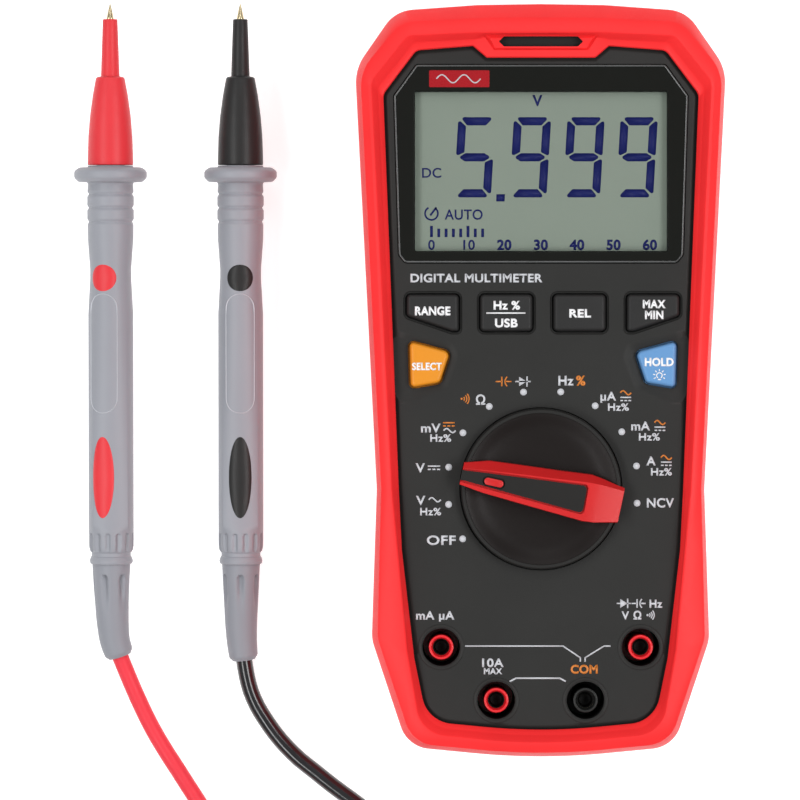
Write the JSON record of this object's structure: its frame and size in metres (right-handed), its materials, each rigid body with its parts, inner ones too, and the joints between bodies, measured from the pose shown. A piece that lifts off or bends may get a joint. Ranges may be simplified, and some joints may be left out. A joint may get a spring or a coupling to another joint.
{
  "type": "handheld multimeter",
  "caption": "Handheld digital multimeter in a soft holster, with rotary dial, push buttons, shrouded jacks, tilt stand and two loose test leads with capped probes.",
  "frame": {"origin": "middle of the meter's flat back, on the surface that it lies on", "axes": "+Z out of the meter's face, +Y towards its top, +X to the right of someone reading it"},
  "size_m": [0.1737, 0.3282, 0.0512],
  "materials": {
    "holster_rubber": "satin soft-touch red",
    "case_black": "fine-textured black",
    "window_clear": "polished clear",
    "lcd_green_grey": "reflective liquid crystal",
    "carrier_white": "plain white",
    "keypad_rubber": "matt silicone",
    "key_dark": "satin dark grey",
    "key_orange": "satin orange",
    "key_blue": "satin blue",
    "dial_black": "satin black",
    "dial_red": "satin red",
    "board_green": "green solder mask",
    "jack_red": "satin red",
    "jack_black": "satin black",
    "contact_metal": "bright plated",
    "shunt_metal": "copper alloy",
    "screw_steel": "zinc plated",
    "fuse_ceramic": "white ceramic tube",
    "battery_jacket": "printed film",
    "probe_grey": "satin grey",
    "probe_metal": "nickel plated",
    "lead_red": "glossy red",
    "lead_black": "glossy black"
  },
  "bodies": {
    "root": {"rear_case": "case_black", "front_case": "case_black", "holster": "holster_rubber", "display_window": "window_clear", "lcd_panel": "lcd_green_grey", "display_carrier": "carrier_white", "main_board": "board_green", "keypad_membrane": "keypad_rubber", "jack_sleeve_amp": "jack_red", "jack_sleeve_milliamp": "jack_red", "jack_sleeve_common": "jack_black", "jack_sleeve_volt": "jack_red", "jack_socket_amp": "contact_metal", "jack_socket_milliamp": "contact_metal", "jack_socket_common": "contact_metal", "jack_socket_volt": "contact_metal", "fuse_amp": "fuse_ceramic", "fuse_milliamp": "fuse_ceramic", "fuse_holder_amp": "contact_metal", "fuse_holder_milliamp": "contact_metal", "current_shunt": "shunt_metal", "buzzer": "jack_black", "battery_door": "case_black", "battery_door_screw": "screw_steel", "battery_1": "battery_jacket", "battery_2": "battery_jacket", "battery_3": "battery_jacket", "battery_4": "battery_jacket", "battery_contacts_upper": "contact_metal", "battery_contacts_lower": "contact_metal", "case_screw_1": "screw_steel", "case_screw_2": "screw_steel", "case_screw_3": "screw_steel", "case_screw_4": "screw_steel", "red_probe_handle": "probe_grey", "red_probe_tip": "probe_metal", "red_probe_boot": "probe_grey", "red_lead_cord": "lead_red", "red_lead_coil": "lead_red", "red_lead_plug": "lead_red", "black_probe_handle": "probe_grey", "black_probe_tip": "probe_metal", "black_probe_boot": "probe_grey", "black_lead_cord": "lead_black", "black_lead_coil": "lead_black", "black_lead_plug": "lead_black"},
    "dial": {"dial_disc": "dial_black", "dial_handle": "dial_red", "dial_inlay": "dial_black", "dial_rotor": "carrier_white", "dial_wiper": "contact_metal"},
    "range_key": {"range_button": "key_dark"},
    "frequency_key": {"frequency_button": "key_dark"},
    "relative_key": {"relative_button": "key_dark"},
    "max_min_key": {"max_min_button": "key_dark"},
    "select_key": {"select_button": "key_orange"},
    "hold_key": {"hold_button": "key_blue"},
    "stand": {"tilt_stand": "case_black"},
    "red_cap": {"red_probe_cap": "lead_red"},
    "black_cap": {"black_probe_cap": "lead_black"}
  },
  "joints": [
    {"name": "dial_turn", "type": "hinge", "parent": "root", "child": "dial", "pos_m": [0, -0.0269, 0.045], "axis": [0, 0, 1], "range_deg": [-176, 44]},
    {"name": "range_press", "type": "slide", "parent": "root", "child": "range_key", "axis": [0, 0, -1], "range_m": [0, 0.001], "stiffness_N_per_m": 300},
    {"name": "frequency_press", "type": "slide", "parent": "root", "child": "frequency_key", "axis": [0, 0, -1], "range_m": [0, 0.001], "stiffness_N_per_m": 300},
    {"name": "relative_press", "type": "slide", "parent": "root", "child": "relative_key", "axis": [0, 0, -1], "range_m": [0, 0.001], "stiffness_N_per_m": 300},
    {"name": "max_min_press", "type": "slide", "parent": "root", "child": "max_min_key", "axis": [0, 0, -1], "range_m": [0, 0.001], "stiffness_N_per_m": 300},
    {"name": "select_press", "type": "slide", "parent": "root", "child": "select_key", "axis": [0, 0, -1], "range_m": [0, 0.001], "stiffness_N_per_m": 300},
    {"name": "hold_press", "type": "slide", "parent": "root", "child": "hold_key", "axis": [0, 0, -1], "range_m": [0, 0.001], "stiffness_N_per_m": 300},
    {"name": "stand_swing", "type": "hinge", "parent": "root", "child": "stand", "pos_m": [0, 0.0685, 0.0027], "axis": [1, 0, 0], "range_deg": [0, 60]},
    {"name": "red_cap_pull", "type": "slide", "parent": "root", "child": "red_cap", "axis": [0, 0.9993, 0.0366], "range_m": [0, 0.042]},
    {"name": "black_cap_pull", "type": "slide", "parent": "root", "child": "black_cap", "axis": [0, 0.9993, 0.0366], "range_m": [0, 0.042]}
  ]
}
